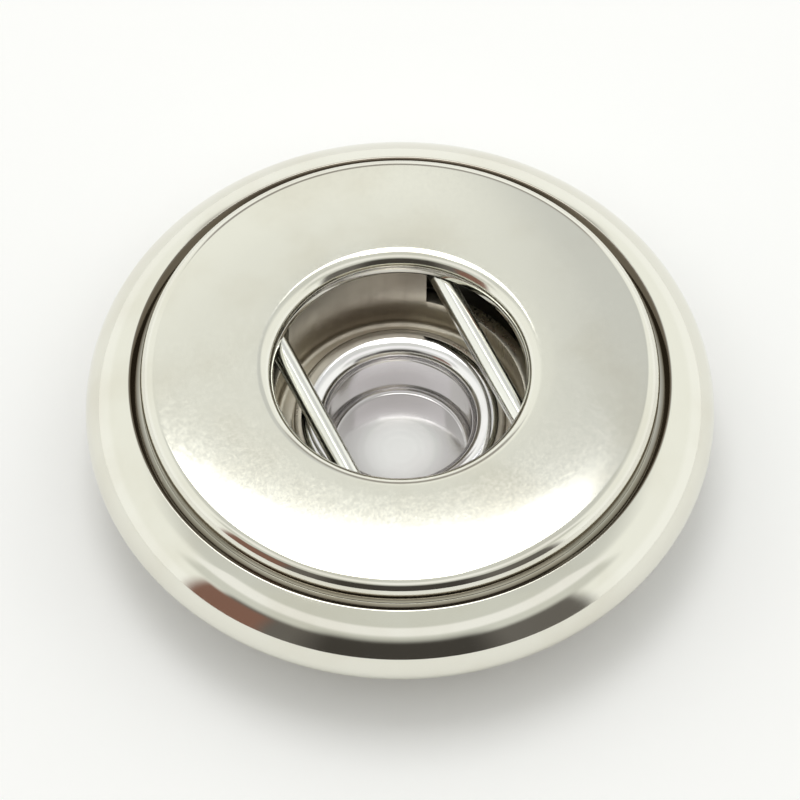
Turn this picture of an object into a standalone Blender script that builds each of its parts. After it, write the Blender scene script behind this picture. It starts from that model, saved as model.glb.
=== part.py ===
"""Socket half of a closed-back electrode snap fastener, as a small assembly of drawn sheet pieces.

The front shell carries the flat mating face and rolls over at its rim to hold the dished back
plate. Between the two stands a barrel, and a thimble with a rolled rim passes through the holes in
the barrel's ledge and the plate and closes the mouth. Two flat-bottomed notches in the barrel let
the straight legs of one spring wire cross the mouth and grip a stud's neck.

Units are metres. Z points out of the mating face, and the origin is the middle of the thimble's
closed end, which the snap stands on. Depths are measured down from the mating face.
"""

import math

import bmesh
import bpy
from mathutils import Vector

MM = 0.001

# Fit between pieces that seat on each other
CLEARANCE = 0.03 * MM

# Front shell, with radii and bends taken on its outside
SHELL_SHEET = 0.22 * MM
HOLE_RADIUS = 2.08 * MM
LIP_BEND = 0.35 * MM
FACE_WIDTH = 2.22 * MM
SHOULDER_BEND = 0.26 * MM
STEP_WALL = 0.02 * MM
STEP_FILLET = 0.06 * MM
FLANGE_WIDTH = 0.90 * MM
FLANGE_SLOPE = math.radians(20)
KNEE_INSET = 0.26 * MM
KNEE_SLOPE = math.radians(60)
KNEE_BEND = 0.90 * MM
RIM_BEND = 0.70 * MM
UNDER_BEND = 0.42 * MM
CURL_WIDTH = 1.08 * MM

# Barrel, which is as wide inside as the mouth, with bends taken on its inside
BARREL_SHEET = 0.22 * MM
LEDGE_DEPTH = 1.85 * MM
LEDGE_CORNER = 0.10 * MM

# Thimble, with bends taken on its inside and over its rolled rim
THIMBLE_SHEET = 0.20 * MM
BEAD_ROOM = 0.28 * MM
BEAD_BEND = 0.30 * MM
BEAD_LEG = 0.10 * MM
THIMBLE_DEPTH = 0.71 * MM
THIMBLE_CORNER = 0.08 * MM

# Spring wire and the notches that it crosses the barrel in
WIRE_DIAMETER = 0.36 * MM
WIRE_INSET = 0.58 * MM
WIRE_GAP = math.radians(60)
BOW_ROOM = 0.55 * MM
NOTCH_SIDE_ROOM = 0.06 * MM
NOTCH_DROP = 0.42 * MM

# Back plate, with bends taken on its upper side
PLATE_SHEET = 0.22 * MM
PLATE_LAND_WIDTH = 1.00 * MM
PLATE_LAND_BEND = 0.20 * MM
PLATE_SEAT_BEND = 0.30 * MM
PLATE_OVERLAP = 0.42 * MM

# Smoothness of the turned and bent forms
TURN_SEGMENTS = 48
ARC_STEP = math.radians(18)
WIRE_ARC_STEP = math.radians(10)
SHARP_ANGLE = math.radians(35)
MERGE_DISTANCE = 0.0001 * MM

# Radii worked out from the mouth outwards
BARREL_RADIUS = HOLE_RADIUS
BEAD_RADIUS = BARREL_RADIUS - BEAD_ROOM
THIMBLE_RADIUS = BEAD_RADIUS - 2 * BEAD_BEND
THIMBLE_HOLE = THIMBLE_RADIUS + THIMBLE_SHEET + CLEARANCE
WIRE_OFFSET = BARREL_RADIUS - WIRE_INSET
FACE_RADIUS = HOLE_RADIUS + FACE_WIDTH
RIM_RADIUS = FACE_RADIUS + FLANGE_WIDTH
KNEE_RADIUS = RIM_RADIUS - KNEE_INSET
CURL_RADIUS = RIM_RADIUS - CURL_WIDTH

# Heights worked out from the ground up
HEIGHT = THIMBLE_SHEET + THIMBLE_DEPTH + LEDGE_DEPTH
LEDGE_HEIGHT = HEIGHT - LEDGE_DEPTH
BEAD_EDGE = LEDGE_HEIGHT + CLEARANCE
BEAD_HEIGHT = BEAD_EDGE + BEAD_LEG + BEAD_BEND
LIP_EDGE = HEIGHT - LIP_BEND
BARREL_TOP = LIP_EDGE - CLEARANCE
WIRE_HEIGHT = LIP_EDGE - CLEARANCE - WIRE_DIAMETER / 2
STEP_REACH = STEP_FILLET * math.tan((math.pi / 2 - FLANGE_SLOPE) / 2)
FLANGE_HEIGHT = HEIGHT - SHOULDER_BEND - STEP_WALL - STEP_REACH


def clear_scene():
    """Remove every object that the file opened with."""
    for old in list(bpy.data.objects):
        bpy.data.objects.remove(old, do_unlink=True)


def metal(name, colour, roughness):
    """Make a metallic material of one colour."""
    material = bpy.data.materials.new(name)
    material.use_nodes = True
    shader = material.node_tree.nodes["Principled BSDF"]
    shader.inputs["Base Color"].default_value = (*colour, 1.0)
    shader.inputs["Metallic"].default_value = 1.0
    shader.inputs["Roughness"].default_value = roughness
    return material


def corner(radius, height, bend=0.0):
    """Return one corner of a sheet's path, with the radius of its bend."""
    return Vector((radius, height)), bend


def arc(centre, radius, start, turn, step=ARC_STEP):
    """Return the points of an arc in a plane, both ends included."""
    count = max(1, math.ceil(abs(turn) / step - 1e-6))
    angles = [start + turn * i / count for i in range(count + 1)]
    return [centre + radius * Vector((math.cos(a), math.sin(a))) for a in angles]


def rounded(corners):
    """Return the points of a path through corners, with an arc at each bend."""
    path = [corners[0][0]]
    for (before, _), (point, bend), (after, _) in zip(corners, corners[1:], corners[2:]):
        arrive = (point - before).normalized()
        leave = (after - point).normalized()
        turn = math.atan2(arrive.x * leave.y - arrive.y * leave.x, arrive.dot(leave))
        if bend == 0.0:
            path.append(point)
            continue
        side = math.copysign(1.0, turn)
        left = Vector((-arrive.y, arrive.x))
        centre = point - bend * math.tan(abs(turn) / 2) * arrive + side * bend * left
        start = math.atan2(arrive.y, arrive.x) - side * math.pi / 2
        path.extend(arc(centre, bend, start, turn))
    path.append(corners[-1][0])
    return path


def sheet_section(corners, sheet):
    """Return the closed outline of a bent sheet, whose metal lies on the right of its path."""
    points = [point for point, _ in corners]
    runs = [(b - a).normalized() for a, b in zip(points, points[1:])]
    inner = []
    for (point, bend), arrive, leave in zip(corners, runs[:1] + runs, runs + runs[-1:]):
        right = Vector((arrive.y, -arrive.x)) + Vector((leave.y, -leave.x))
        mitre = right / (1.0 + arrive.dot(leave))
        turns_right = arrive.x * leave.y - arrive.y * leave.x < 0.0
        inner_bend = 0.0
        if bend > 0.0:
            inner_bend = max(bend - sheet, 0.0) if turns_right else bend + sheet
        inner.append((point + sheet * mitre, inner_bend))
    return rounded(corners) + rounded(inner)[::-1]


def add_object(name, data):
    """Put new data into the scene as a named object."""
    body = bpy.data.objects.new(name, data)
    bpy.context.collection.objects.link(body)
    return body


def turned(name, outline, material, on_axis=False):
    """Turn an outline about Z into one closed object with smooth shading."""
    mesh = bpy.data.meshes.new(name)
    form = bmesh.new()
    verts = [form.verts.new((point.x, 0.0, point.y)) for point in outline]
    pairs = list(zip(verts, verts[1:]))
    if not on_axis:
        pairs.append((verts[-1], verts[0]))
    edges = [form.edges.new(pair) for pair in pairs]
    bmesh.ops.spin(
        form, geom=verts + edges, cent=(0.0, 0.0, 0.0), axis=(0.0, 0.0, 1.0),
        angle=math.tau, steps=TURN_SEGMENTS, use_merge=True,
    )
    bmesh.ops.remove_doubles(form, verts=form.verts[:], dist=MERGE_DISTANCE)
    bmesh.ops.recalc_face_normals(form, faces=form.faces[:])
    form.to_mesh(mesh)
    form.free()
    mesh.shade_smooth()
    mesh.set_sharp_from_angle(angle=SHARP_ANGLE)
    mesh.materials.append(material)
    return add_object(name, mesh)


def flange_top(radius):
    """Return the height of the flange's sloping upper side at a radius."""
    return FLANGE_HEIGHT - (radius - FACE_RADIUS) * math.tan(FLANGE_SLOPE)


def plate_seat_top(radius):
    """Return the height of the back plate's seat, which lies against the flange's underside."""
    return flange_top(radius) - (SHELL_SHEET + CLEARANCE) / math.cos(FLANGE_SLOPE)


def front_shell(material):
    """Build the shell: lip, flat face, shoulder, small step, rounded flange and rolled rim."""
    knee_height = flange_top(KNEE_RADIUS)
    rim_height = knee_height - KNEE_INSET * math.tan(KNEE_SLOPE)
    roll_middle = rim_height - RIM_BEND * math.tan((math.pi / 2 - KNEE_SLOPE) / 2)
    roll_under = roll_middle - UNDER_BEND
    plate_under = plate_seat_top(CURL_RADIUS + SHELL_SHEET) - PLATE_SHEET / math.cos(FLANGE_SLOPE)
    curl_end = plate_under - CLEARANCE
    skin = [
        corner(HOLE_RADIUS, LIP_EDGE),
        corner(HOLE_RADIUS, HEIGHT, LIP_BEND),
        corner(FACE_RADIUS, HEIGHT, SHOULDER_BEND),
        corner(FACE_RADIUS, FLANGE_HEIGHT, STEP_FILLET),
        corner(KNEE_RADIUS, knee_height, KNEE_BEND),
        corner(RIM_RADIUS, rim_height, RIM_BEND),
        corner(RIM_RADIUS, roll_under, UNDER_BEND),
        corner(CURL_RADIUS, roll_under, UNDER_BEND),
        corner(CURL_RADIUS, curl_end),
    ]
    return turned("front_shell", sheet_section(skin, SHELL_SHEET), material)


def notch_cutter(name, side):
    """Make the box that cuts one flat-bottomed notch across the barrel."""
    inset = WIRE_OFFSET - WIRE_DIAMETER / 2 - NOTCH_SIDE_ROOM
    floor = WIRE_HEIGHT - WIRE_DIAMETER / 2 - NOTCH_DROP
    reach = BARREL_RADIUS + 2 * BARREL_SHEET
    size = Vector((reach - inset, 2 * reach, HEIGHT - floor))
    middle = Vector((side * (inset + reach) / 2, 0.0, (HEIGHT + floor) / 2))
    mesh = bpy.data.meshes.new(name)
    form = bmesh.new()
    bmesh.ops.create_cube(form, size=1.0)
    bmesh.ops.scale(form, vec=size, verts=form.verts[:])
    bmesh.ops.translate(form, vec=middle, verts=form.verts[:])
    form.to_mesh(mesh)
    form.free()
    cutter = add_object(name, mesh)
    cutter.hide_render = True
    cutter.display_type = "WIRE"
    return cutter


def socket_barrel(material):
    """Build the barrel: notched wall and a ledge with a hole for the thimble."""
    skin = [
        corner(THIMBLE_HOLE, LEDGE_HEIGHT),
        corner(BARREL_RADIUS, LEDGE_HEIGHT, LEDGE_CORNER),
        corner(BARREL_RADIUS, BARREL_TOP),
    ]
    barrel = turned("socket_barrel", sheet_section(skin, BARREL_SHEET), material)
    for name, side in (("notch_left", -1.0), ("notch_right", 1.0)):
        cut = barrel.modifiers.new(name, "BOOLEAN")
        cut.operation = "DIFFERENCE"
        cut.solver = "EXACT"
        cut.object = notch_cutter(name, side)
    return barrel


def tail_thimble(material):
    """Build the thimble: closed end, straight wall and a rim rolled over the barrel's ledge."""
    skin = [
        corner(0.0, THIMBLE_SHEET),
        corner(THIMBLE_RADIUS, THIMBLE_SHEET, THIMBLE_CORNER),
        corner(THIMBLE_RADIUS, BEAD_HEIGHT, BEAD_BEND),
        corner(BEAD_RADIUS, BEAD_HEIGHT, BEAD_BEND),
        corner(BEAD_RADIUS, BEAD_EDGE),
    ]
    return turned("tail_thimble", sheet_section(skin, THIMBLE_SHEET), material, on_axis=True)


def back_plate(material):
    """Build the dished plate: a land under the barrel's ledge, rising to a seat in the rim."""
    land = LEDGE_HEIGHT - BARREL_SHEET - CLEARANCE
    seat_inner = CURL_RADIUS - CLEARANCE - PLATE_SHEET
    seat_outer = CURL_RADIUS + PLATE_OVERLAP
    skin = [
        corner(THIMBLE_HOLE, land),
        corner(THIMBLE_HOLE + PLATE_LAND_WIDTH, land, PLATE_LAND_BEND),
        corner(seat_inner, plate_seat_top(seat_inner), PLATE_SEAT_BEND),
        corner(seat_outer, plate_seat_top(seat_outer)),
    ]
    return turned("back_plate", sheet_section(skin, PLATE_SHEET), material)


def spring_wire(material):
    """Build the spring: two straight legs joined by a bow, and a second bow with a gap in it."""
    reach = FACE_RADIUS - SHELL_SHEET - BOW_ROOM
    bow_middle = reach - WIRE_DIAMETER / 2 - WIRE_OFFSET
    gap = WIRE_GAP / 2
    closed_bow = arc(Vector((0.0, bow_middle)), WIRE_OFFSET, 0.0, math.pi, WIRE_ARC_STEP)
    quarter = math.pi / 2 - gap
    near = Vector((0.0, -bow_middle))
    right_end = arc(near, WIRE_OFFSET, -math.pi / 2 + gap, quarter, WIRE_ARC_STEP)
    left_end = arc(near, WIRE_OFFSET, math.pi, quarter, WIRE_ARC_STEP)
    route = right_end + closed_bow + left_end
    curve = bpy.data.curves.new("spring_wire", "CURVE")
    curve.dimensions = "3D"
    curve.bevel_depth = WIRE_DIAMETER / 2
    curve.bevel_resolution = 3
    curve.use_fill_caps = True
    spline = curve.splines.new("POLY")
    spline.points.add(len(route) - 1)
    for spot, point in zip(spline.points, route):
        spot.co = (point.x, point.y, WIRE_HEIGHT, 1.0)
    curve.materials.append(material)
    return add_object("spring_wire", curve)


def main():
    """Build the snap fastener."""
    clear_scene()
    nickel = metal("bright_nickel", (0.72, 0.70, 0.64), 0.22)
    barrel_nickel = metal("barrel_nickel", (0.66, 0.64, 0.57), 0.26)
    thimble_nickel = metal("thimble_nickel", (0.76, 0.74, 0.71), 0.24)
    plate_nickel = metal("plate_nickel", (0.70, 0.68, 0.62), 0.30)
    steel = metal("spring_steel", (0.74, 0.74, 0.70), 0.18)
    front_shell(nickel)
    socket_barrel(barrel_nickel)
    tail_thimble(thimble_nickel)
    back_plate(plate_nickel)
    spring_wire(steel)


if __name__ == "__main__":
    main()
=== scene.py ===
"""Looks of an electrode snap fastener: five thin drawn pieces and the small studio they stand in.

Sizes are written in millimetres and each finished mesh is brought to metres. Z points out of the
flat mating face, and the origin is the middle of the thimble's closed end. Each sheet piece starts
as the few corners of its section, which are rounded, turned about Z and dressed.
"""

from __future__ import annotations

import logging
import math
from collections.abc import Callable
from dataclasses import dataclass, field
from enum import Enum
from typing import TypeAlias

import bmesh
import bpy
from mathutils import Matrix, Vector

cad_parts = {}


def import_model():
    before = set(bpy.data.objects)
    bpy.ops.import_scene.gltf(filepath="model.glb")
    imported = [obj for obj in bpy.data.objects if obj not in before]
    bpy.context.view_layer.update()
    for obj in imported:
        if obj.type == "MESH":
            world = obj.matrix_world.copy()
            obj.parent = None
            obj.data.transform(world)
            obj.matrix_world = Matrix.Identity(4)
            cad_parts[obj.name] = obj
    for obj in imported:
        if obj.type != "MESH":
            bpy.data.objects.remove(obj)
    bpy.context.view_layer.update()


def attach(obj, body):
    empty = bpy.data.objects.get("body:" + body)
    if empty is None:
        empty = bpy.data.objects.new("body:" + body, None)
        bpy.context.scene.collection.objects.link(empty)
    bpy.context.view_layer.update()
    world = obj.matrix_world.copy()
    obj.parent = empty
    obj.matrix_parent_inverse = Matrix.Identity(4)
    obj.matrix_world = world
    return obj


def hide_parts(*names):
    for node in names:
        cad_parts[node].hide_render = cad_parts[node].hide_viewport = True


LOG = logging.getLogger("snap")
MM = 0.001
MICRON = 1e-6

# What a node's input takes: another node's output or a plain value.
Signal: TypeAlias = "bpy.types.NodeSocket | float"
Colour: TypeAlias = "tuple[float, float, float]"

# Points closer than this become one, in millimetres.
WELD = 0.0004
# Height of a band's soft upper and lower edges, in millimetres.
BAND_RISE = 0.03
# Roughness below which no metal goes.
MIRROR = 0.03

# Sizes of the patterns in a finish, in millimetres.
STAIN_SIZE = 1.7
WAVE_SIZE = 0.9
GRAIN_SIZE = 0.05
CLOUD_SIZE = 0.11
DRAWN_SIZE = 0.6
TURNED_SIZE = 0.08
# How many times finer the marks of drawing are along X, Y and Z.
DRAWN_STRETCH = (8.0, 8.0, 0.5)

# Where a pattern starts and stops to count, and what it does to the roughness there.
STAIN_LIMITS = (0.42, 0.72)
GLOSS_LIMITS = (0.3, 0.7)
GLOSS_SPREAD = (0.85, 1.2)
GRAIN_LIMITS = (0.25, 0.75)
GRAIN_SPREAD = (0.85, 1.15)
STREAK_LIMITS = (0.35, 0.7)
STREAK_SPREAD = (-0.1, 0.18)


class Side(Enum):
    """The two sides of the mouth that a leg of the spring crosses."""

    LEFT = -1.0
    RIGHT = 1.0


class Metal(str, Enum):
    """The record's material slots."""

    BRIGHT_NICKEL = "bright_nickel"
    BARREL_NICKEL = "barrel_nickel"
    THIMBLE_NICKEL = "thimble_nickel"
    PLATE_NICKEL = "plate_nickel"
    SPRING_STEEL = "spring_steel"


class Marks(Enum):
    """The way in which fine marks lie on a piece."""

    CLOUDED = "clouded"
    DRAWN = "drawn"
    TURNED = "turned"


@dataclass(frozen=True)
class Corner:
    """One corner of a sheet's section, in millimetres.

    Args:
        radius: Distance from the Z axis.
        height: Height above the origin.
        bend: Radius of the bend there, or 0 for a sharp corner.
    """

    radius: float
    height: float
    bend: float = 0.0

    @property
    def point(self) -> Vector:
        """Return the corner in the plane of the section."""
        return Vector((self.radius, self.height))


@dataclass(frozen=True)
class Sheet:
    """A bent sheet whose metal lies on the right of its skin's corners.

    Args:
        skin: Corners of the side that the sizes are taken on.
        thickness: Thickness of the metal in millimetres.
        worked: The same side with its fine forms, where it has any.
    """

    skin: tuple[Corner, ...]
    thickness: float
    worked: tuple[Corner, ...] = ()

    def inner(self) -> list[Corner]:
        """Return the corners of the other side of the metal.

        Returns:
            One corner for each corner of the skin, with its own bend.
        """
        points = [spot.point for spot in self.skin]
        runs = [(after - before).normalized() for before, after in zip(points, points[1:])]
        other = []
        for spot, arrive, leave in zip(self.skin, runs[:1] + runs, runs + runs[-1:]):
            right = Vector((arrive.y, -arrive.x)) + Vector((leave.y, -leave.x))
            shifted = spot.point + self.thickness * right / (1.0 + arrive.dot(leave))
            bend = 0.0
            if spot.bend > 0.0:
                turns_right = arrive.x * leave.y - arrive.y * leave.x < 0.0
                bend = spot.bend + (-self.thickness if turns_right else self.thickness)
            other.append(Corner(shifted.x, shifted.y, max(bend, 0.0)))
        return other

    def outline(self) -> list[Corner]:
        """Return the corners of both sides in one round."""
        return list(self.worked or self.skin) + self.inner()[::-1]


@dataclass(frozen=True)
class Lathe:
    """Turns a sheet's section into a closed mesh.

    Args:
        steps: Faces in one turn about Z.
        arc_step: Widest angle that one face of a bend covers, in degrees.
        sharp: Angle in degrees above which an edge is shaded sharp.
    """

    steps: int = 224
    arc_step: float = 6.0
    sharp: float = 32.0

    def turn(self, name: str, sheet: Sheet, on_axis: bool = False) -> bpy.types.Object:
        """Round the section's corners and spin it about Z.

        Args:
            name: Name of the new piece.
            sheet: Section to turn.
            on_axis: True where the section starts and ends on the axis.

        Returns:
            The finished piece, in metres and at the origin.
        """
        form = bmesh.new()
        corners = sheet.outline()
        verts = [form.verts.new((spot.radius, 0.0, spot.height)) for spot in corners]
        pairs = list(zip(verts, verts[1:]))
        if not on_axis:
            pairs.append((verts[-1], verts[0]))
        for pair in pairs:
            form.edges.new(pair)
        self.round_corners(form, verts, corners)
        bmesh.ops.spin(
            form, geom=form.verts[:] + form.edges[:], cent=(0.0, 0.0, 0.0), axis=(0.0, 0.0, 1.0),
            angle=math.tau, steps=self.steps, use_merge=True,
        )
        return finished(name, form, self.sharp)

    def round_corners(
        self, form: bmesh.types.BMesh, verts: list[bmesh.types.BMVert], corners: list[Corner]
    ) -> None:
        """Bevel every bend of a section into an arc.

        Args:
            form: Mesh that holds the section.
            verts: Its corners.
            corners: The sizes of those corners, in the same order.
        """
        bends = []
        count = len(corners)
        for index, spot in enumerate(corners):
            if spot.bend <= 0.0:
                continue
            arrive = (spot.point - corners[index - 1].point).normalized()
            leave = (corners[(index + 1) % count].point - spot.point).normalized()
            turn = abs(math.atan2(arrive.x * leave.y - arrive.y * leave.x, arrive.dot(leave)))
            bends.append((verts[index], spot.bend * math.tan(turn / 2), math.degrees(turn)))
        for vert, offset, turn in bends:
            bmesh.ops.bevel(
                form, geom=[vert], offset=offset, offset_type="OFFSET",
                segments=max(2, math.ceil(turn / self.arc_step)), profile=0.5,
                affect="VERTICES", material=-1, clamp_overlap=False,
            )


def finished(name: str, form: bmesh.types.BMesh, sharp: float = 30.0) -> bpy.types.Object:
    """Close a form, bring it to metres and put it in the scene.

    Args:
        name: Name of the new piece.
        form: Mesh in millimetres, which is freed.
        sharp: Angle in degrees above which an edge is shaded sharp.

    Returns:
        The new piece, at the origin.
    """
    bmesh.ops.remove_doubles(form, verts=form.verts[:], dist=WELD)
    bmesh.ops.recalc_face_normals(form, faces=form.faces[:])
    bmesh.ops.scale(form, vec=(MM, MM, MM), verts=form.verts[:])
    mesh = bpy.data.meshes.new(name)
    form.to_mesh(mesh)
    form.free()
    mesh.shade_smooth()
    mesh.set_sharp_from_angle(angle=math.radians(sharp))
    piece = bpy.data.objects.new(name, mesh)
    bpy.context.scene.collection.objects.link(piece)
    return piece


@dataclass
class Bench:
    """Adds nodes to a tree and links them.

    Args:
        tree: Node tree to work on.
    """

    tree: bpy.types.NodeTree

    def add(self, kind: str, inputs: dict | None = None, **settings: object) -> bpy.types.Node:
        """Add one node.

        Args:
            kind: Type of the node.
            inputs: Value or output socket for each input, by name or place.
            settings: Properties of the node itself.

        Returns:
            The new node.
        """
        node = self.tree.nodes.new(kind)
        for key, value in settings.items():
            setattr(node, key, value)
        for key, value in (inputs or {}).items():
            if isinstance(value, bpy.types.NodeSocket):
                self.tree.links.new(value, node.inputs[key])
            else:
                node.inputs[key].default_value = value
        return node

    def math(self, operation: str, *values: Signal) -> bpy.types.NodeSocket:
        """Add a Math node and return its output."""
        node = self.add("ShaderNodeMath", dict(enumerate(values)), operation=operation)
        return node.outputs[0]

    def ramp(
        self, value: Signal, low: float, high: float, start: float = 0.0, end: float = 1.0
    ) -> bpy.types.NodeSocket:
        """Map a value softly from one range onto another, held at both ends.

        Args:
            value: Value to read.
            low: Value that gives start.
            high: Value that gives end.
            start: Result at low.
            end: Result at high.

        Returns:
            The mapped value.
        """
        node = self.add(
            "ShaderNodeMapRange", {0: value, 1: low, 2: high, 3: start, 4: end},
            interpolation_type="SMOOTHSTEP",
        )
        return node.outputs[0]

    def vary(
        self, pattern: Signal, limits: tuple[float, float], level: float, spread: tuple[float, float]
    ) -> bpy.types.NodeSocket:
        """Let a pattern move a value about its plain level.

        Args:
            pattern: Pattern from 0 to 1.
            limits: Where the pattern starts and stops to count.
            level: The plain level.
            spread: How many times the level comes out at each limit.

        Returns:
            The varied value.
        """
        return self.ramp(pattern, *limits, level * spread[0], level * spread[1])

    def bump(
        self, pattern: Signal, height: float, under: bpy.types.NodeSocket | None = None
    ) -> bpy.types.NodeSocket:
        """Raise a pattern from the surface.

        Args:
            pattern: Pattern from 0 to 1.
            height: Its height in micrometres.
            under: Normal of a coarser relief that it lies on.

        Returns:
            The new normal.
        """
        inputs: dict[str, Signal] = {"Height": pattern, "Strength": 1.0, "Distance": height * MICRON}
        if under is not None:
            inputs["Normal"] = under
        return self.add("ShaderNodeBump", inputs).outputs[0]

    def noise(
        self, place: bpy.types.NodeSocket, size: float, detail: float = 3.0,
        stretch: tuple[float, float, float] = (1.0, 1.0, 1.0),
    ) -> bpy.types.NodeSocket:
        """Add a noise whose features are about one size across.

        Args:
            place: Coordinates in metres.
            size: Size of the features in millimetres.
            detail: Finer layers of the noise.
            stretch: How many times finer the noise is along each axis.

        Returns:
            The noise, from 0 to 1.
        """
        scaled = self.add("ShaderNodeMapping", {"Vector": place, "Scale": stretch})
        node = self.add(
            "ShaderNodeTexNoise",
            {"Vector": scaled.outputs[0], "Scale": 1.0 / (size * MM), "Detail": detail},
        )
        return node.outputs["Fac"]

    def mix(
        self, factor: Signal, first: bpy.types.NodeSocket | tuple, second: bpy.types.NodeSocket | tuple
    ) -> bpy.types.NodeSocket:
        """Mix two colours and return the result."""
        node = self.add("ShaderNodeMix", {0: factor, 6: first, 7: second}, data_type="RGBA")
        return node.outputs[2]


@dataclass(frozen=True)
class Band:
    """A ring of a turned piece, in millimetres.

    Args:
        inner: Distance from the axis where the ring starts.
        outer: Distance from the axis where the ring ends.
        low: Height of its lower end.
        high: Height of its upper end.
        edge: Widths of its soft inner and outer edges.
    """

    inner: float
    outer: float
    low: float
    high: float
    edge: tuple[float, float] = (0.12, 0.12)

    def mask(self, bench: Bench, radius: Signal, height: Signal) -> bpy.types.NodeSocket:
        """Return a mask that is 1 in the ring.

        Args:
            bench: Where the nodes go.
            radius: Distance from the axis in metres.
            height: Height in metres.

        Returns:
            The mask.
        """
        mask = bench.ramp(radius, (self.inner - self.edge[0]) * MM, self.inner * MM)
        for value, start, end, near, far in (
            (radius, self.outer, self.outer + self.edge[1], 1.0, 0.0),
            (height, self.low - BAND_RISE, self.low, 0.0, 1.0),
            (height, self.high, self.high + BAND_RISE, 1.0, 0.0),
        ):
            mask = bench.math("MULTIPLY", mask, bench.ramp(value, start * MM, end * MM, near, far))
        return mask


@dataclass(frozen=True)
class Finish:
    """A metal finish: its colour, gloss, fine marks and any painted shade.

    Args:
        slot: Material slot of the record.
        tint: Colour where the plate is clean.
        dull: Colour where it is dull or stained.
        polish: Roughness where the metal is bright.
        ring: Where the satin ring lies, or None.
        satin: Roughness in the satin ring.
        shade_band: Where painted shade darkens the plate in a corner or hollow, or None.
        shade_tint: Colour of that painted shade.
        marks: How the fine marks lie.
        wave: Height of the slow waves of the sheet, in micrometres.
        scratch: Depth of the fine marks, in micrometres.
    """

    slot: Metal
    tint: Colour
    dull: Colour
    polish: float
    ring: Band | None = None
    satin: float = 0.13
    # Painted shade: a band where the plate's colour is darkened, and the colour it is darkened to.
    shade_band: Band | None = None
    shade_tint: Colour = (0.17, 0.145, 0.115)
    marks: Marks = Marks.CLOUDED
    wave: float = 1.6
    scratch: float = 0.25

    def material(self) -> bpy.types.Material:
        """Build the finish as a node material.

        Returns:
            The material, which reads Object coordinates.
        """
        material = bpy.data.materials.new(self.slot.value)
        material.use_nodes = True
        bench = Bench(material.node_tree)
        shader = material.node_tree.nodes["Principled BSDF"]
        shader.inputs["Metallic"].default_value = 1.0
        place = bench.add("ShaderNodeTexCoord").outputs["Object"]
        parts = bench.add("ShaderNodeSeparateXYZ", {0: place})
        flat = bench.add("ShaderNodeCombineXYZ", {0: parts.outputs[0], 1: parts.outputs[1]})
        reach = bench.add("ShaderNodeVectorMath", {0: flat.outputs[0]}, operation="LENGTH")
        radius, height = reach.outputs["Value"], parts.outputs[2]
        stain = bench.noise(place, STAIN_SIZE, detail=4.0)
        fine = self.fine_marks(bench, place, radius, height)
        colour = bench.mix(bench.ramp(stain, *STAIN_LIMITS), (*self.tint, 1.0), (*self.dull, 1.0))
        gloss = bench.vary(stain, GLOSS_LIMITS, self.polish, GLOSS_SPREAD)
        if self.ring is not None:
            mask = self.ring.mask(bench, radius, height)
            grain = bench.noise(place, GRAIN_SIZE, detail=2.0)
            soft = bench.vary(grain, GRAIN_LIMITS, self.satin, GRAIN_SPREAD)
            gloss = bench.add("ShaderNodeMix", {0: mask, 2: gloss, 3: soft}).outputs[0]
        # Painted shade: darken the plate's colour inside the band.
        if self.shade_band is not None:
            mask = self.shade_band.mask(bench, radius, height)
            colour = bench.mix(mask, colour, (*self.shade_tint, 1.0))
        streak = bench.vary(fine, STREAK_LIMITS, self.polish, STREAK_SPREAD)
        gloss = bench.math("MAXIMUM", bench.math("ADD", gloss, streak), MIRROR)
        waves = bench.bump(bench.noise(place, WAVE_SIZE, detail=2.0), self.wave)
        relief = bench.bump(fine, self.scratch, waves)
        links = material.node_tree.links
        links.new(colour, shader.inputs["Base Color"])
        links.new(gloss, shader.inputs["Roughness"])
        links.new(relief, shader.inputs["Normal"])
        return material

    def fine_marks(
        self, bench: Bench, place: bpy.types.NodeSocket, radius: Signal, height: Signal
    ) -> bpy.types.NodeSocket:
        """Return the pattern of fine marks.

        Args:
            bench: Where the nodes go.
            place: Object coordinates.
            radius: Distance from the axis in metres.
            height: Height in metres.

        Returns:
            The pattern, from 0 to 1.
        """
        if self.marks is Marks.DRAWN:
            return bench.noise(place, DRAWN_SIZE, stretch=DRAWN_STRETCH)
        if self.marks is Marks.TURNED:
            rings = bench.add("ShaderNodeCombineXYZ", {0: radius, 1: height})
            return bench.noise(rings.outputs[0], TURNED_SIZE)
        return bench.noise(place, CLOUD_SIZE, detail=4.0)


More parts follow.
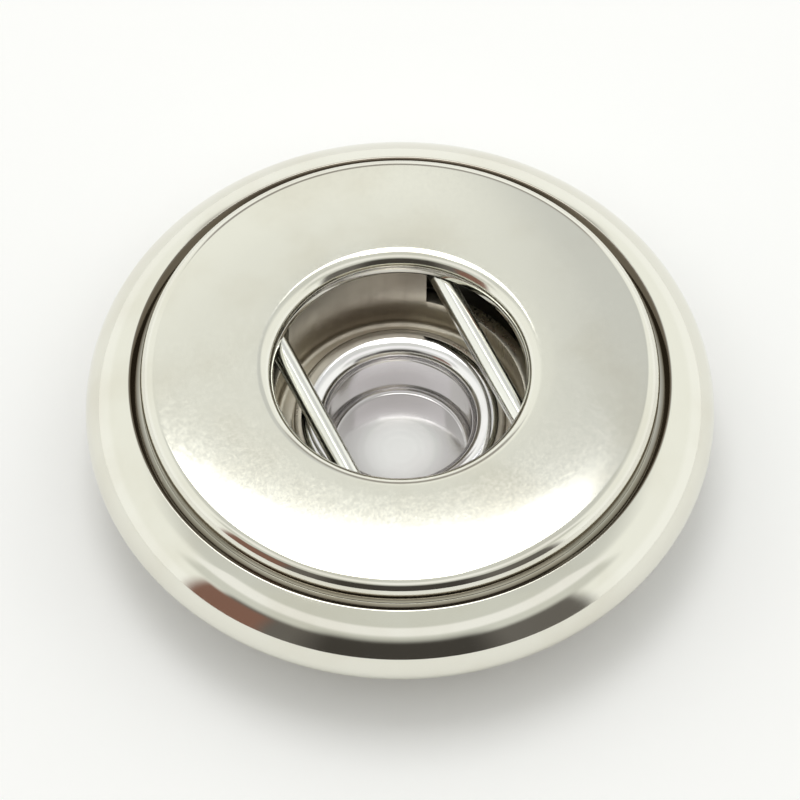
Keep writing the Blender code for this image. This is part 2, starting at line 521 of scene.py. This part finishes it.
@dataclass(frozen=True)
class Layout:
    """The sizes that more than one piece of the snap follows, in millimetres.

    Args:
        clearance: Gap between pieces that are pressed together in the real one.
        hole: Radius of the mouth.
        lip_bend: Bend of the lip.
        face_width: Width of the raised face.
        flange_width: Width of the flange and rim outside the face.
        shell_sheet: Thickness of the shell.
        shoulder_bend: Bend of the shoulder, before its fine forms.
        step_wall: Height of the straight step under the shoulder.
        step_fillet: Bend at the step's foot.
        slope: Slope of the flange, in radians.
        knee_inset: Distance of the flange's knee from the rim.
        knee_slope: Slope beyond the knee, in radians.
        knee_bend: Bend of the knee.
        rim_bend: Upper bend of the rim.
        under_bend: Lower bends of the rim.
        curl_width: Width of the rolled rim, from its widest line to its curl.
        barrel_sheet: Thickness of the barrel.
        ledge_depth: Depth of the barrel's ledge below the face.
        thimble_sheet: Thickness of the thimble.
        thimble_depth: Depth of the thimble's floor below the ledge.
        bead_room: Room between the thimble's rolled rim and the barrel.
        bead_bend: Bend of the thimble's rolled rim.
        plate_sheet: Thickness of the back plate.
        wire: Thickness of the spring wire.
        wire_inset: Distance of a leg's middle from the mouth's edge.
    """

    clearance: float = 0.03
    hole: float = 2.08
    lip_bend: float = 0.35
    face_width: float = 2.22
    flange_width: float = 0.90
    shell_sheet: float = 0.22
    shoulder_bend: float = 0.26
    step_wall: float = 0.02
    step_fillet: float = 0.06
    slope: float = math.radians(20)
    knee_inset: float = 0.26
    knee_slope: float = math.radians(60)
    knee_bend: float = 0.90
    rim_bend: float = 0.70
    under_bend: float = 0.42
    curl_width: float = 1.08
    barrel_sheet: float = 0.22
    ledge_depth: float = 1.85
    thimble_sheet: float = 0.20
    thimble_depth: float = 0.71
    bead_room: float = 0.28
    bead_bend: float = 0.30
    plate_sheet: float = 0.22
    wire: float = 0.36
    wire_inset: float = 0.58

    @property
    def height(self) -> float:
        """Return the height of the mating face."""
        return self.thimble_sheet + self.thimble_depth + self.ledge_depth

    @property
    def ledge(self) -> float:
        """Return the height of the barrel's ledge."""
        return self.height - self.ledge_depth

    @property
    def face(self) -> float:
        """Return the radius of the raised face."""
        return self.hole + self.face_width

    @property
    def rim(self) -> float:
        """Return the radius of the rolled rim."""
        return self.face + self.flange_width

    @property
    def curl(self) -> float:
        """Return the inner radius of the rim's curl."""
        return self.rim - self.curl_width

    @property
    def bead(self) -> float:
        """Return the outer radius of the thimble's rolled rim."""
        return self.hole - self.bead_room

    @property
    def thimble(self) -> float:
        """Return the thimble's inner radius."""
        return self.bead - 2 * self.bead_bend

    @property
    def thimble_hole(self) -> float:
        """Return the radius of the holes that the thimble passes through."""
        return self.thimble + self.thimble_sheet + self.clearance

    @property
    def lip_edge(self) -> float:
        """Return the height at which the lip ends."""
        return self.height - self.lip_bend

    @property
    def wire_height(self) -> float:
        """Return the height of the spring wire's middle."""
        return self.lip_edge - self.clearance - self.wire / 2

    @property
    def wire_offset(self) -> float:
        """Return the distance of each leg from the axis."""
        return self.hole - self.wire_inset

    @property
    def flange(self) -> float:
        """Return the flange's height where it meets the raised face."""
        reach = self.step_fillet * math.tan((math.pi / 2 - self.slope) / 2)
        return self.height - self.shoulder_bend - self.step_wall - reach

    def flange_top(self, radius: float) -> float:
        """Return the height of the flange's upper side at a radius."""
        return self.flange - (radius - self.face) * math.tan(self.slope)

    def seat_top(self, radius: float) -> float:
        """Return the height of the back plate's seat at a radius."""
        return self.flange_top(radius) - (self.shell_sheet + self.clearance) / math.cos(self.slope)


@dataclass
class FrontShell:
    """The shell: lip, raised face, shoulder, small groove, rounded flange and rolled rim.

    Args:
        layout: Sizes shared with the other pieces.
        lathe: How it is turned.
        crown_start: Radius at which the face starts to fall away, in millimetres.
        crown_fall: Slope of the face at its shoulder, in radians.
        crown_bend: Radius of that gentle fall, in millimetres.
        groove_width: Width of the groove at the shoulder's foot.
        groove_floor: Width of its flat floor.
        groove_depth: Depth of the groove below the flange.
        groove_bends: Bends of its two lower corners and of its outer edge.
        undercut: How far the shoulder's foot is drawn in.
        shoulder_bend: Radius of the shoulder.
        lip_round: Radius of the lip's upper edge.
        finish: Its plate, with painted shade darkening the groove at the shoulder's foot.
    """

    layout: Layout
    lathe: Lathe
    crown_start: float = 2.60
    crown_fall: float = math.radians(3.4)
    crown_bend: float = 24.0
    groove_width: float = 0.15
    groove_floor: float = 0.065
    groove_depth: float = 0.12
    groove_bends: tuple[float, float, float] = (0.012, 0.03, 0.04)
    undercut: float = 0.02
    shoulder_bend: float = 0.27
    lip_round: float = 0.27
    finish: Finish = Finish(
        Metal.BRIGHT_NICKEL, tint=(0.78, 0.77, 0.69), dull=(0.73, 0.71, 0.62), polish=0.07,
        # Painted shade: the band over the groove's floor is darkened to a dark brown.
        ring=Band(2.16, 4.0, 2.60, 2.80), shade_band=Band(4.37, 4.45, 2.20, 2.40, (0.15, 0.02)),
        marks=Marks.CLOUDED, wave=0.5, scratch=0.05,
    )

    def build(self) -> bpy.types.Object:
        """Turn the shell and dress it.

        Returns:
            The piece, which stands for the node front_shell.
        """
        size = self.layout
        edge = Corner(size.hole, size.lip_edge)
        lip = Corner(size.hole, size.height, size.lip_bend)
        face = Corner(size.face, size.height, size.shoulder_bend)
        foot = Corner(size.face, size.flange, size.step_fillet)
        roll = self.roll()
        skin = (edge, lip, face, foot, *roll)
        sheet = Sheet(skin, size.shell_sheet, (edge, *self.worked(), *roll))
        return dressed(self.lathe.turn("shell_dressed", sheet), "front_shell", self.finish)

    def roll(self) -> tuple[Corner, ...]:
        """Work out the flange's knee, the rolled rim and its curl.

        Returns:
            Their corners, from the flange outwards.
        """
        size = self.layout
        knee = size.rim - size.knee_inset
        rim_height = size.flange_top(knee) - size.knee_inset * math.tan(size.knee_slope)
        middle = rim_height - size.rim_bend * math.tan((math.pi / 2 - size.knee_slope) / 2)
        under = middle - size.under_bend
        seat = size.seat_top(size.curl + size.shell_sheet)
        curl_end = seat - size.plate_sheet / math.cos(size.slope) - size.clearance
        return (
            Corner(knee, size.flange_top(knee), size.knee_bend),
            Corner(size.rim, rim_height, size.rim_bend),
            Corner(size.rim, under, size.under_bend),
            Corner(size.curl, under, size.under_bend),
            Corner(size.curl, curl_end),
        )

    def worked(self) -> tuple[Corner, ...]:
        """Work out the lip, the crowned face, its shoulder and the groove at its foot.

        Returns:
            Their corners, from the mouth outwards.
        """
        size = self.layout
        crown = self.crown_start + self.crown_bend * math.tan(self.crown_fall / 2)
        drop = (size.face - crown) * math.tan(self.crown_fall)
        mouth = size.face + self.groove_width
        floor = size.flange_top(mouth) - self.groove_depth
        edge = size.face - self.undercut
        inner_bend, outer_bend, edge_bend = self.groove_bends
        return (
            Corner(size.hole, size.height, self.lip_round),
            Corner(crown, size.height, self.crown_bend),
            Corner(edge, size.height - drop, self.shoulder_bend),
            Corner(edge - self.undercut, floor, inner_bend),
            Corner(edge + self.groove_floor, floor, outer_bend),
            Corner(mouth, size.flange_top(mouth), edge_bend),
        )


@dataclass
class SocketBarrel:
    """The barrel: a wall with two flat-bottomed notches, and a ledge with a hole.

    Args:
        layout: Sizes shared with the other pieces.
        lathe: How it is turned.
        ledge_corner: Inner bend between the wall and the ledge.
        side_room: Room between a leg of the spring and the notch's side.
        drop: Room below a leg.
        edge_break: Width of the broken edges.
        break_angle: Angle in degrees above which an edge is broken.
        finish: Its plate, darker and browner than the shell's: painted shade for the wall down in the
            mouth.
    """

    layout: Layout
    lathe: Lathe
    ledge_corner: float = 0.10
    side_room: float = 0.06
    drop: float = 0.42
    edge_break: float = 0.018
    break_angle: float = 50.0
    finish: Finish = Finish(
        # Painted shade: the tint and dull colours are darker and browner than the shell's nickel.
        Metal.BARREL_NICKEL, tint=(0.60, 0.56, 0.47), dull=(0.46, 0.41, 0.34), polish=0.34,
        marks=Marks.DRAWN, wave=1.2, scratch=0.5,
    )

    def cutter(self, side: Side) -> bpy.types.Object:
        """Make the block that cuts one notch.

        Args:
            side: Side of the mouth.

        Returns:
            The block, in metres.
        """
        size = self.layout
        inset = size.wire_offset - size.wire / 2 - self.side_room
        floor = size.wire_height - size.wire / 2 - self.drop
        reach = size.hole + 2 * size.barrel_sheet
        form = bmesh.new()
        bmesh.ops.create_cube(form, size=1.0)
        bmesh.ops.scale(form, vec=(reach - inset, 2 * reach, size.height - floor), verts=form.verts[:])
        middle = (side.value * (inset + reach) / 2, 0.0, (size.height + floor) / 2)
        bmesh.ops.translate(form, vec=middle, verts=form.verts[:])
        return finished("notch_" + side.name.lower(), form)

    def build(self) -> bpy.types.Object:
        """Turn the barrel, cut its notches and break their edges.

        Returns:
            The piece, which stands for the node socket_barrel.
        """
        size = self.layout
        skin = (
            Corner(size.thimble_hole, size.ledge),
            Corner(size.hole, size.ledge, self.ledge_corner),
            Corner(size.hole, size.lip_edge - size.clearance),
        )
        barrel = self.lathe.turn("barrel_dressed", Sheet(skin, size.barrel_sheet))
        cutters = [self.cutter(side) for side in Side]
        for cutter in cutters:
            cut = barrel.modifiers.new(cutter.name, "BOOLEAN")
            cut.operation = "DIFFERENCE"
            cut.solver = "EXACT"
            cut.object = cutter
        soften = barrel.modifiers.new("edge_break", "BEVEL")
        soften.width = self.edge_break * MM
        soften.segments = 2
        soften.limit_method = "ANGLE"
        soften.angle_limit = math.radians(self.break_angle)
        apply_modifiers(barrel, self.lathe.sharp)
        for cutter in cutters:
            bpy.data.objects.remove(cutter, do_unlink=True)
        return dressed(barrel, "socket_barrel", self.finish)


@dataclass
class TailThimble:
    """The thimble: closed end, straight wall and a rim rolled over the barrel's ledge.

    Args:
        layout: Sizes shared with the other pieces.
        lathe: How it is turned.
        leg: Straight end of its rolled rim.
        corner: Bend of the sheet between floor and wall, taken inside.
        fillet: Radius that the punch leaves in that corner.
        finish: Its plate, with painted shade darkening the floor near the wall.
    """

    layout: Layout
    lathe: Lathe
    leg: float = 0.10
    corner: float = 0.08
    fillet: float = 0.12
    finish: Finish = Finish(
        Metal.THIMBLE_NICKEL, tint=(0.88, 0.87, 0.87), dull=(0.80, 0.78, 0.78), polish=0.12,
        # Painted shade: the floor grows darker from near the middle out to the wall.
        shade_band=Band(1.00, 1.17, 0.10, 0.24, (0.80, 0.03)), shade_tint=(0.54, 0.52, 0.52),
        marks=Marks.TURNED, wave=0.3, scratch=0.04,
    )

    def build(self) -> bpy.types.Object:
        """Turn the thimble and dress it.

        Returns:
            The piece, which stands for the node tail_thimble.
        """
        size = self.layout
        edge = size.ledge + size.clearance
        top = edge + self.leg + size.bead_bend
        middle = Corner(0.0, size.thimble_sheet)
        bead = (
            Corner(size.thimble, top, size.bead_bend),
            Corner(size.bead, top, size.bead_bend),
            Corner(size.bead, edge),
        )
        skin = (middle, Corner(size.thimble, size.thimble_sheet, self.corner), *bead)
        worked = (middle, Corner(size.thimble, size.thimble_sheet, self.fillet), *bead)
        turned = self.lathe.turn("thimble_dressed", Sheet(skin, size.thimble_sheet, worked), on_axis=True)
        return dressed(turned, "tail_thimble", self.finish)


@dataclass
class BackPlate:
    """The dished plate that closes the back, held in the rolled rim.

    Args:
        layout: Sizes shared with the other pieces.
        lathe: How it is turned.
        land: Width of the flat land round the thimble.
        land_bend: Bend at the land's edge, on the upper side.
        seat_bend: Bend below the seat, on the upper side.
        overlap: How far the seat reaches past the rim's curl.
        finish: Its plate.
    """

    layout: Layout
    lathe: Lathe
    land: float = 1.00
    land_bend: float = 0.20
    seat_bend: float = 0.30
    overlap: float = 0.42
    finish: Finish = Finish(
        Metal.PLATE_NICKEL, tint=(0.76, 0.74, 0.66), dull=(0.64, 0.61, 0.52), polish=0.22,
        marks=Marks.TURNED, wave=3.0, scratch=0.9,
    )

    def build(self) -> bpy.types.Object:
        """Turn the plate and dress it.

        Returns:
            The piece, which stands for the node back_plate.
        """
        size = self.layout
        low = size.ledge - size.barrel_sheet - size.clearance
        seat_inner = size.curl - size.clearance - size.plate_sheet
        seat_outer = size.curl + self.overlap
        skin = (
            Corner(size.thimble_hole, low),
            Corner(size.thimble_hole + self.land, low, self.land_bend),
            Corner(seat_inner, size.seat_top(seat_inner), self.seat_bend),
            Corner(seat_outer, size.seat_top(seat_outer)),
        )
        turned = self.lathe.turn("plate_dressed", Sheet(skin, size.plate_sheet))
        return dressed(turned, "back_plate", self.finish)


@dataclass
class SpringWire:
    """The spring: two straight legs joined by a bow, and a second bow with a gap.

    Args:
        layout: Sizes shared with the other pieces.
        bow_room: Room between the bows and the raised face's wall.
        gap: Angle of the gap in degrees.
        sides: Faces round the wire.
        step: Widest angle that one face of a bow covers, in degrees.
        sharp: Angle in degrees above which an edge is shaded sharp.
        finish: Its steel.
    """

    layout: Layout
    bow_room: float = 0.55
    gap: float = 60.0
    sides: int = 32
    step: float = 5.0
    sharp: float = 40.0
    finish: Finish = Finish(
        Metal.SPRING_STEEL, tint=(0.84, 0.84, 0.79), dull=(0.76, 0.76, 0.70), polish=0.16,
        marks=Marks.DRAWN, wave=0.6, scratch=0.4,
    )

    def build(self) -> bpy.types.Object:
        """Sweep a round section along the legs and bows.

        Returns:
            The piece, which stands for the node spring_wire.
        """
        size = self.layout
        reach = size.face - size.shell_sheet - self.bow_room
        middle = reach - size.wire / 2 - size.wire_offset
        quarter = math.radians(90.0 - self.gap / 2)
        form = bmesh.new()
        start = bmesh.ops.create_circle(
            form, cap_ends=True, segments=self.sides, radius=size.wire / 2
        )["verts"]
        upright = Matrix.Rotation(math.pi / 2, 3, "X")
        bmesh.ops.rotate(form, cent=(0.0, 0.0, 0.0), matrix=upright, verts=start)
        bmesh.ops.translate(form, vec=(size.wire_offset, -middle, size.wire_height), verts=start)
        back = Matrix.Rotation(-quarter, 3, "Z")
        bmesh.ops.rotate(form, cent=(0.0, -middle, 0.0), matrix=back, verts=start)
        last = self.bow(form, form.faces[:], -middle, quarter)
        last = self.leg(form, last, 2 * middle)
        last = self.bow(form, last, middle, math.pi)
        last = self.leg(form, last, -2 * middle)
        self.bow(form, last, -middle, quarter)
        return dressed(finished("spring_dressed", form, self.sharp), "spring_wire", self.finish)

    def bow(
        self, form: bmesh.types.BMesh, end: list[bmesh.types.BMFace], middle: float, angle: float
    ) -> list[bmesh.types.BMFace]:
        """Turn the wire's end face about one bow's middle.

        Args:
            form: Mesh of the wire.
            end: End face of the wire so far.
            middle: Place of the bow's middle along Y.
            angle: Angle of the bow.

        Returns:
            The new end face.
        """
        turned = bmesh.ops.spin(
            form, geom=end, cent=(0.0, middle, 0.0), axis=(0.0, 0.0, 1.0), angle=angle,
            steps=max(2, math.ceil(math.degrees(angle) / self.step)),
        )
        return self.last_face(form, turned["geom_last"], end)

    def leg(
        self, form: bmesh.types.BMesh, end: list[bmesh.types.BMFace], length: float
    ) -> list[bmesh.types.BMFace]:
        """Draw the wire's end face straight along Y.

        Args:
            form: Mesh of the wire.
            end: End face of the wire so far.
            length: Length of the leg, negative towards -Y.

        Returns:
            The new end face.
        """
        drawn = bmesh.ops.extrude_face_region(form, geom=end)
        verts = [part for part in drawn["geom"] if isinstance(part, bmesh.types.BMVert)]
        bmesh.ops.translate(form, vec=(0.0, length, 0.0), verts=verts)
        return self.last_face(form, drawn["geom"], end)

    def last_face(
        self, form: bmesh.types.BMesh, made: list, old: list[bmesh.types.BMFace]
    ) -> list[bmesh.types.BMFace]:
        """Return the new end face and drop an old one that is left inside the wire.

        Args:
            form: Mesh of the wire.
            made: What the last step made.
            old: End face of the wire before it.

        Returns:
            The new end face.
        """
        ends = [
            part for part in made
            if isinstance(part, bmesh.types.BMFace) and len(part.verts) == self.sides
        ]
        inside = [
            face for face in old
            if face.is_valid and any(len(edge.link_faces) > 2 for edge in face.edges)
        ]
        bmesh.ops.delete(form, geom=inside, context="FACES_ONLY")
        return ends


def apply_modifiers(piece: bpy.types.Object, sharp: float) -> None:
    """Put a piece's modifiers into its mesh.

    Args:
        piece: Piece to change.
        sharp: Angle in degrees above which an edge is shaded sharp.
    """
    graph = bpy.context.evaluated_depsgraph_get()
    mesh = bpy.data.meshes.new_from_object(piece.evaluated_get(graph), depsgraph=graph)
    old = piece.data
    piece.modifiers.clear()
    piece.data = mesh
    bpy.data.meshes.remove(old)
    mesh.name = piece.name
    mesh.shade_smooth()
    mesh.set_sharp_from_angle(angle=math.radians(sharp))


def dressed(piece: bpy.types.Object, node: str, finish: Finish) -> bpy.types.Object:
    """Give a piece its finish and let it stand for its node.

    Args:
        piece: Finished piece.
        node: Name of the node that it replaces.
        finish: Its finish.

    Returns:
        The same piece.
    """
    piece.data.materials.clear()
    piece.data.materials.append(finish.material())
    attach(piece, "root")
    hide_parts(node)
    return piece


@dataclass(frozen=True)
class Patch:
    """A part of the room with a colour of its own.

    Args:
        colour: Its colour.
        swing: Where it starts and ends round the table, in degrees from the camera.
        rise: Where it starts and ends over the horizon, in degrees.
        edge: Width of its soft edges, in degrees.
        one_sided: True where it lies on one side of the camera only.
    """

    colour: tuple[float, float, float, float]
    swing: tuple[float, float]
    rise: tuple[float, float]
    edge: float = 6.0
    one_sided: bool = False

    def paint(
        self, bench: Bench, under: bpy.types.NodeSocket, swing: Signal, rise: Signal
    ) -> bpy.types.NodeSocket:
        """Lay the patch over a colour.

        Args:
            bench: Where the nodes go.
            under: Colour so far.
            swing: Angle round the table.
            rise: Angle over the horizon.

        Returns:
            The new colour.
        """
        mask: Signal = 1.0
        for value, (start, end) in ((swing, self.swing), (rise, self.rise)):
            mask = bench.math("MULTIPLY", mask, bench.ramp(value, start - self.edge, start))
            mask = bench.math("MULTIPLY", mask, bench.ramp(value, end, end + self.edge, 1.0, 0.0))
        return bench.mix(mask, under, self.colour)


SKIRT = (1.04, 1.05, 1.03, 1.0)
WALL = (0.98, 0.99, 0.95, 1.0)
CEILING = (0.68, 0.69, 0.66, 1.0)
# Where the skirt turns into the wall and the wall into the ceiling, in degrees over the horizon.
SKIRT_TOP = (14.0, 24.0)
WALL_TOP = (48.0, 62.0)
# A start or end that lies out of reach, so that the patch has no soft edge there.
NO_START = -60.0
NO_END = 200.0
PATCHES = (
    # Grey wall high up on the camera's side.
    Patch((0.70, 0.71, 0.67, 1.0), (NO_START, 72.0), (38.0, 84.0), edge=8.0),
    # Dark stretch low down under it, darker still in its middle, with a brown left end.
    Patch((0.15, 0.14, 0.13, 1.0), (NO_START, 54.0), (NO_START, 33.0), edge=7.0),
    Patch((0.06, 0.055, 0.05, 1.0), (NO_START, 20.0), (NO_START, 33.0), edge=14.0),
    Patch((0.24, 0.13, 0.10, 1.0), (-62.0, -44.0), (NO_START, 30.0), edge=6.0, one_sided=True),
    # Pale strip across the grey wall.
    Patch((0.98, 0.98, 0.97, 1.0), (NO_START, 80.0), (50.0, 61.0), edge=5.0),
    # Dark strip low down and a grey stretch of ceiling on the far side.
    Patch((0.36, 0.34, 0.32, 1.0), (160.0, NO_END), (25.0, 38.0), edge=5.0),
    Patch((0.66, 0.67, 0.66, 1.0), (150.0, 171.0), (40.0, 80.0), edge=8.0, one_sided=True),
)


@dataclass
class Studio:
    """Floor, soft light and camera.

    Args:
        azimuth: Camera's azimuth in degrees, 0 being towards -Y.
        elevation: Camera's height over the horizon in degrees.
        distance: Camera's distance in metres.
        lens: Focal length in millimetres.
        aim: Height of the point that the camera looks at, in metres.
        lamp_tilt: Angle from the zenith to the soft lamp, away from the camera, in degrees.
        lamp_swing: Angle of the lamp to the camera's right, in degrees.
        lamp_half: Half the angles that the lamp covers, across and away, in degrees.
        lamp_distance: Distance of the lamp in metres.
        lamp_level: Radiance of the lamp, where the paper's is about 1.
        sky_level: Strength of the room's light.
        paper: Colour of the floor.
        paper_half: Half the floor's width in millimetres.
        lift: Light that the floor's white adds where it is seen or mirrored.
    """

    azimuth: float = -25.0
    elevation: float = 56.8
    distance: float = 0.0889
    lens: float = 242.0
    aim: float = 0.0017
    lamp_tilt: float = 12.5
    lamp_swing: float = -3.5
    lamp_half: tuple[float, float] = (11.5, 15.0)
    lamp_distance: float = 0.40
    lamp_level: float = 3.0
    sky_level: float = 1.06
    paper: Colour = (0.96, 0.96, 0.96)
    paper_half: float = 1500.0
    lift: float = 0.035
    toward: Vector = field(init=False)

    def __post_init__(self) -> None:
        """Work out the level direction from the object to the camera."""
        turn = math.radians(self.azimuth)
        self.toward = Vector((math.sin(turn), -math.cos(turn), 0.0))

    def build(self) -> None:
        """Set up the floor, the lamp, the tent and the camera."""
        self.floor()
        self.lamp()
        self.tent()
        self.camera()
        bpy.context.scene.view_settings.view_transform = "Standard"

    def floor(self) -> None:
        """Lay a plain sheet of white paper under the snap."""
        form = bmesh.new()
        bmesh.ops.create_grid(form, x_segments=1, y_segments=1, size=self.paper_half)
        paper = finished("floor", form)
        material = bpy.data.materials.new("white_paper")
        material.use_nodes = True
        shader = material.node_tree.nodes["Principled BSDF"]
        shader.inputs["Base Color"].default_value = (*self.paper, 1.0)
        shader.inputs["Roughness"].default_value = 0.9
        shader.inputs["Specular IOR Level"].default_value = 0.1
        shader.inputs["Emission Color"].default_value = (1.0, 1.0, 1.0, 1.0)
        bench = Bench(material.node_tree)
        rays = bench.add("ShaderNodeLightPath")
        seen = bench.math("MAXIMUM", rays.outputs["Is Camera Ray"], rays.outputs["Is Glossy Ray"])
        seen = bench.math("MAXIMUM", seen, rays.outputs["Is Transmission Ray"])
        lift = bench.math("MULTIPLY", seen, self.lift)
        material.node_tree.links.new(lift, shader.inputs["Emission Strength"])
        paper.data.materials.append(material)

    def lamp(self) -> None:
        """Hang the soft lamp over the snap."""
        across, away = (2 * self.lamp_distance * math.tan(math.radians(half)) for half in self.lamp_half)
        data = bpy.data.lights.new("soft_lamp", "AREA")
        data.shape = "RECTANGLE"
        data.size = across
        data.size_y = away
        data.energy = self.lamp_level * math.pi * across * away
        lamp = bpy.data.objects.new("soft_lamp", data)
        turn = Matrix.Rotation(math.radians(self.azimuth), 4, "Z")
        tilt = Matrix.Rotation(-math.radians(self.lamp_tilt), 4, "X")
        swing = Matrix.Rotation(math.radians(self.lamp_swing), 4, "Y")
        lamp.matrix_world = turn @ tilt @ swing @ Matrix.Translation((0.0, 0.0, self.lamp_distance))
        bpy.context.scene.collection.objects.link(lamp)

    def tent(self) -> None:
        """Put the pale room round the table into the world."""
        world = bpy.data.worlds.new("light_room")
        bpy.context.scene.world = world
        world.use_nodes = True
        bench = Bench(world.node_tree)
        view = bench.add("ShaderNodeTexCoord").outputs["Generated"]
        turned = bench.add(
            "ShaderNodeVectorRotate", {"Vector": view, "Angle": -math.radians(self.azimuth)},
            rotation_type="Z_AXIS",
        )
        across, away, up = bench.add("ShaderNodeSeparateXYZ", {0: turned.outputs[0]}).outputs
        rise = bench.math("MULTIPLY", bench.math("ARCSINE", up), math.degrees(1.0))
        toward = bench.math("MULTIPLY", away, -1.0)
        swing = bench.math("MULTIPLY", bench.math("ARCTAN2", across, toward), math.degrees(1.0))
        spread = bench.math("ABSOLUTE", swing)
        colour = bench.mix(bench.ramp(rise, *SKIRT_TOP), SKIRT, WALL)
        colour = bench.mix(bench.ramp(rise, *WALL_TOP), colour, CEILING)
        for patch in PATCHES:
            colour = patch.paint(bench, colour, swing if patch.one_sided else spread, rise)
        back = world.node_tree.nodes["Background"]
        back.inputs["Strength"].default_value = self.sky_level
        world.node_tree.links.new(colour, back.inputs["Color"])

    def camera(self) -> None:
        """Place the camera at the photograph's viewing angle and distance."""
        rise = math.radians(self.elevation)
        aim = Vector((0.0, 0.0, self.aim))
        offset = math.cos(rise) * self.toward + Vector((0.0, 0.0, math.sin(rise)))
        data = bpy.data.cameras.new("camera")
        data.lens = self.lens
        data.sensor_width = 36.0
        data.clip_start = 0.001
        data.clip_end = 10.0
        camera = bpy.data.objects.new("camera", data)
        camera.location = aim + self.distance * offset
        camera.rotation_euler = offset.to_track_quat("Z", "Y").to_euler()
        bpy.context.scene.collection.objects.link(camera)
        bpy.context.scene.camera = camera


def main() -> None:
    """Build the snap in its studio and report each piece."""
    logging.basicConfig(level=logging.INFO, format="%(name)s: %(message)s")
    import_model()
    layout = Layout()
    lathe = Lathe()
    builders: list[Callable[[], bpy.types.Object]] = [
        FrontShell(layout, lathe).build,
        SocketBarrel(layout, lathe).build,
        TailThimble(layout, lathe).build,
        BackPlate(layout, lathe).build,
        SpringWire(layout).build,
    ]
    for build in builders:
        piece = build()
        LOG.info("%s: %d faces", piece.name, len(piece.data.polygons))
    Studio().build()
    bpy.context.view_layer.update()


if __name__ == "__main__":
    main()
